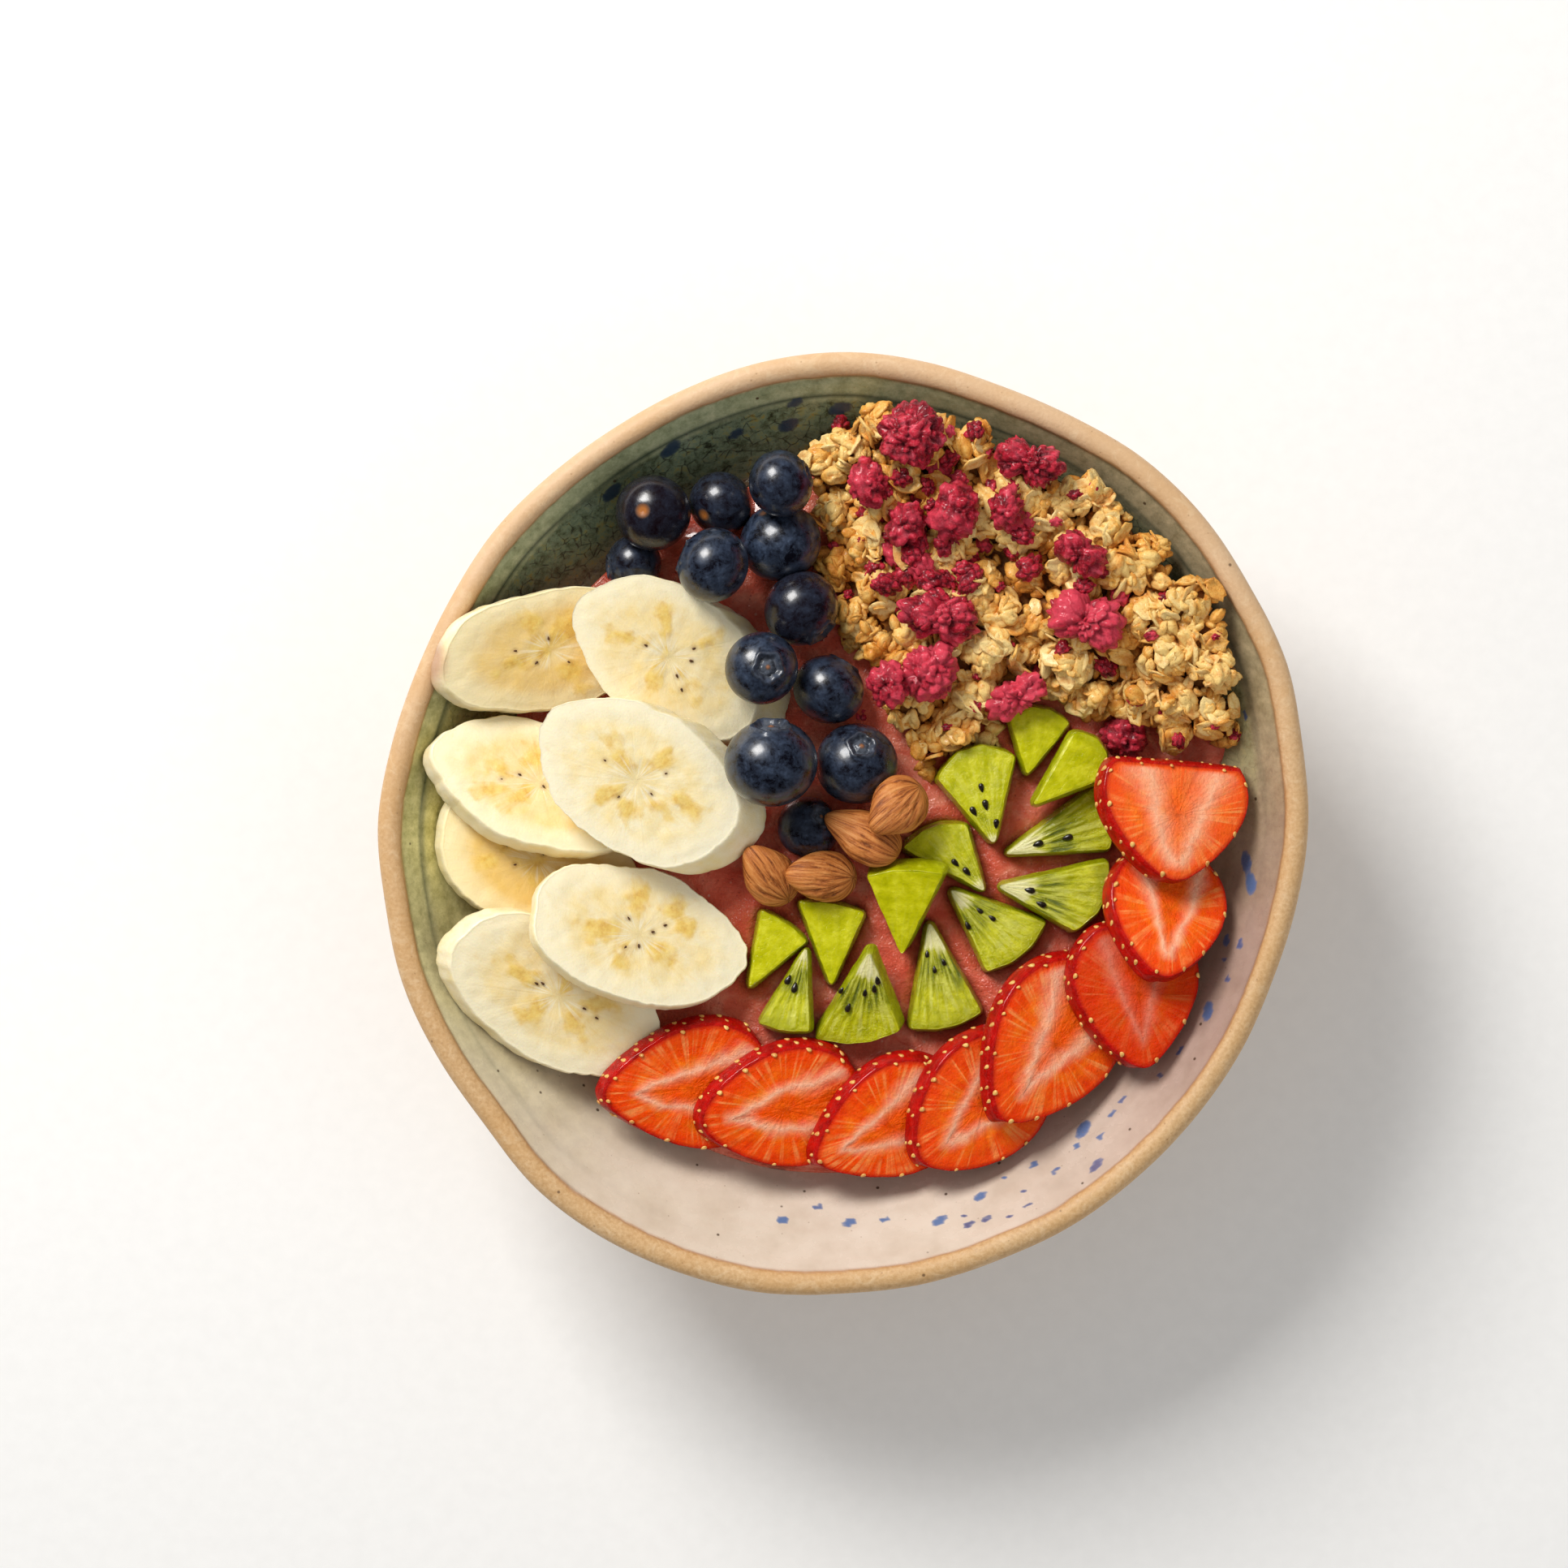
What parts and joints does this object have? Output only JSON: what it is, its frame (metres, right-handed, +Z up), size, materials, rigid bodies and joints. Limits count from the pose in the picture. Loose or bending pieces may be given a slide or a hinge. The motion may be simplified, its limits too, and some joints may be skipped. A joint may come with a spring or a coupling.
{
  "type": "bowl of fruit",
  "caption": "Handmade stoneware bowl filled with fruit smoothie, topped with sliced banana, strawberry, kiwi, berries, almonds and a heap of oat granola.",
  "frame": {"origin": "on the ground under the middle of the foot ring", "axes": "+Z up, +Y towards the top edge of the picture, +X towards its right edge"},
  "size_m": [0.2002, 0.2029, 0.0729],
  "materials": {
    "stoneware": "speckled grey-green and pinkish glaze inside, bare tan clay at the rim, satin",
    "smoothie": "thick wet fruit puree, glossy",
    "banana": "moist cream flesh, satin",
    "blueberry": "dark blue skin with a pale bloom",
    "almond": "ridged brown skin, matt",
    "kiwi": "wet green flesh with dark seeds",
    "strawberry": "wet orange-red flesh with a red skin",
    "granola": "toasted oat clusters, matt",
    "raspberry": "freeze-dried, wrinkled and matt"
  },
  "bodies": {
    "root": {"bowl": "stoneware", "smoothie": "smoothie", "banana_slice_1": "banana", "banana_slice_2": "banana", "banana_slice_3": "banana", "banana_slice_4": "banana", "banana_slice_5": "banana", "banana_slice_6": "banana", "banana_slice_7": "banana", "blueberry_1": "blueberry", "blueberry_2": "blueberry", "blueberry_3": "blueberry", "blueberry_4": "blueberry", "blueberry_5": "blueberry", "blueberry_6": "blueberry", "blueberry_7": "blueberry", "blueberry_8": "blueberry", "blueberry_9": "blueberry", "blueberry_10": "blueberry", "blueberry_11": "blueberry", "blueberry_12": "blueberry", "almond_1": "almond", "almond_2": "almond", "almond_3": "almond", "almond_4": "almond", "kiwi_wedge_1": "kiwi", "kiwi_wedge_2": "kiwi", "kiwi_wedge_3": "kiwi", "kiwi_wedge_4": "kiwi", "kiwi_wedge_5": "kiwi", "kiwi_wedge_6": "kiwi", "kiwi_wedge_7": "kiwi", "kiwi_wedge_8": "kiwi", "kiwi_wedge_9": "kiwi", "kiwi_wedge_10": "kiwi", "kiwi_wedge_11": "kiwi", "kiwi_wedge_12": "kiwi", "kiwi_wedge_13": "kiwi", "strawberry_slice_1": "strawberry", "strawberry_slice_2": "strawberry", "strawberry_slice_3": "strawberry", "strawberry_slice_4": "strawberry", "strawberry_slice_5": "strawberry", "strawberry_slice_6": "strawberry", "strawberry_slice_7": "strawberry", "strawberry_slice_8": "strawberry", "raspberry_1": "raspberry", "raspberry_2": "raspberry", "raspberry_3": "raspberry", "raspberry_4": "raspberry", "raspberry_5": "raspberry", "raspberry_6": "raspberry", "raspberry_7": "raspberry", "raspberry_8": "raspberry", "raspberry_9": "raspberry", "raspberry_10": "raspberry", "raspberry_11": "raspberry", "raspberry_12": "raspberry", "raspberry_13": "raspberry", "granola": "granola"}
  },
  "joints": []
}
